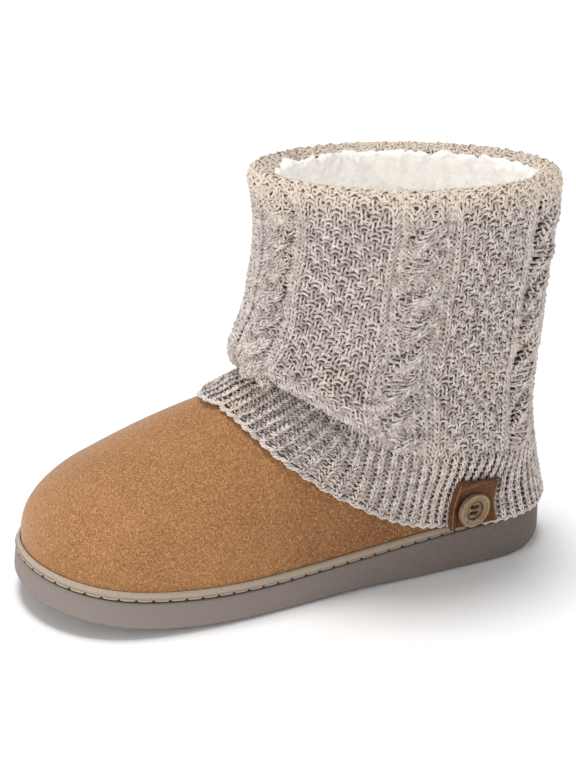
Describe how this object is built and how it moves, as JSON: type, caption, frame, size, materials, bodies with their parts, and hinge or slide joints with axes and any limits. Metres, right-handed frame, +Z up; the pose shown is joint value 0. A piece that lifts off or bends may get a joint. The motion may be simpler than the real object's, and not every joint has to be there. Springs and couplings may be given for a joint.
{
  "type": "bootie slipper",
  "caption": "Ankle-high bootie slipper with a suede foot, a cable-knit shaft with a rolled collar over a fleece lining, a buttoned heel tab and a moulded wedge sole.",
  "frame": {"origin": "on the floor under the middle of the sole's length and width", "axes": "+X along the foot to the heel, +Y to the inner side of the foot, +Z up; the outer side with the button faces -Y"},
  "size_m": [0.2644, 0.1198, 0.186],
  "materials": {
    "sole_rubber": "fine matt texture",
    "welt_rubber": "smooth satin",
    "insole_fleece": "fleece",
    "suede": "brushed suede nap",
    "knit": "cable-knit wool blend",
    "tab_suede": "brushed suede nap",
    "button_horn": "polished horn look"
  },
  "bodies": {
    "root": {"outsole": "sole_rubber", "welt": "welt_rubber", "insole": "insole_fleece", "upper": "suede", "knit_shaft": "knit", "button_tab": "tab_suede", "button": "button_horn"}
  },
  "joints": []
}
